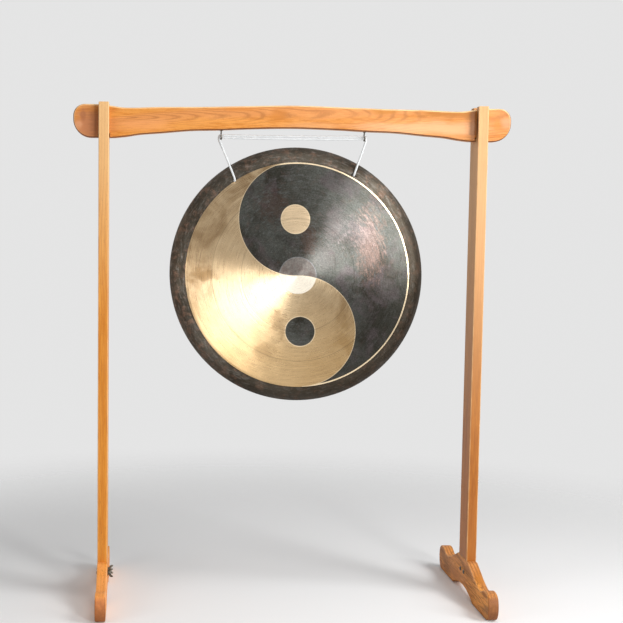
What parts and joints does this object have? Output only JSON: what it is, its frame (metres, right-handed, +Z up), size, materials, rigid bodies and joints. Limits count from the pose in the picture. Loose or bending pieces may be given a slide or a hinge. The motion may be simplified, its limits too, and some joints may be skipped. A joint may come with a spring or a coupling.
{
  "type": "gong stand",
  "caption": "Wooden gong stand with fork-topped posts, scroll feet and a lift-out crossbar, and a gong hung from it by a cord.",
  "frame": {"origin": "on the floor, under the middle of the crossbar", "axes": "+Z up, +X to the right of a player who faces the gong, -Y towards the player"},
  "size_m": [1.37, 0.6, 1.558],
  "materials": {
    "wood": "oiled, satin",
    "foot_wood": "oiled, satin",
    "steel": "dull, darkened",
    "zinc": "zinc plated",
    "bronze": "turned face with a dark fired rim",
    "cord": "braided"
  },
  "bodies": {
    "frame": {"left_post": "wood", "left_foot": "foot_wood", "left_foot_bolt_front": "steel", "left_foot_washer_front": "zinc", "left_foot_bolt_rear": "steel", "left_foot_washer_rear": "zinc", "right_post": "wood", "right_foot": "foot_wood", "right_foot_bolt_front": "steel", "right_foot_washer_front": "zinc", "right_foot_bolt_rear": "steel", "right_foot_washer_rear": "zinc"},
    "crossbar": {"crossbar": "wood", "left_hook": "steel", "right_hook": "steel"},
    "gong": {"gong": "bronze", "hanging_cord": "cord", "cord_knot": "cord"},
    "left_wing_nut_front": {"left_wing_nut_front": "zinc"},
    "left_wing_nut_rear": {"left_wing_nut_rear": "zinc"},
    "right_wing_nut_front": {"right_wing_nut_front": "zinc"},
    "right_wing_nut_rear": {"right_wing_nut_rear": "zinc"}
  },
  "joints": [
    {"name": "crossbar_lift", "type": "slide", "parent": "frame", "child": "crossbar", "axis": [0, 0, 1], "range_m": [0, 0.115]},
    {"name": "gong_swing", "type": "hinge", "parent": "crossbar", "child": "gong", "pos_m": [0, 0, 1.4585], "axis": [1, 0, 0], "range_deg": [-20, 20]},
    {"name": "left_wing_nut_front_turn", "type": "hinge", "parent": "frame", "child": "left_wing_nut_front", "pos_m": [-0.5718, -0.0195, 0.074], "axis": [1, 0, 0], "continuous": true},
    {"name": "left_wing_nut_rear_turn", "type": "hinge", "parent": "frame", "child": "left_wing_nut_rear", "pos_m": [-0.5718, 0.0195, 0.074], "axis": [1, 0, 0], "continuous": true},
    {"name": "right_wing_nut_front_turn", "type": "hinge", "parent": "frame", "child": "right_wing_nut_front", "pos_m": [0.6082, -0.0195, 0.074], "axis": [1, 0, 0], "continuous": true},
    {"name": "right_wing_nut_rear_turn", "type": "hinge", "parent": "frame", "child": "right_wing_nut_rear", "pos_m": [0.6082, 0.0195, 0.074], "axis": [1, 0, 0], "continuous": true}
  ]
}
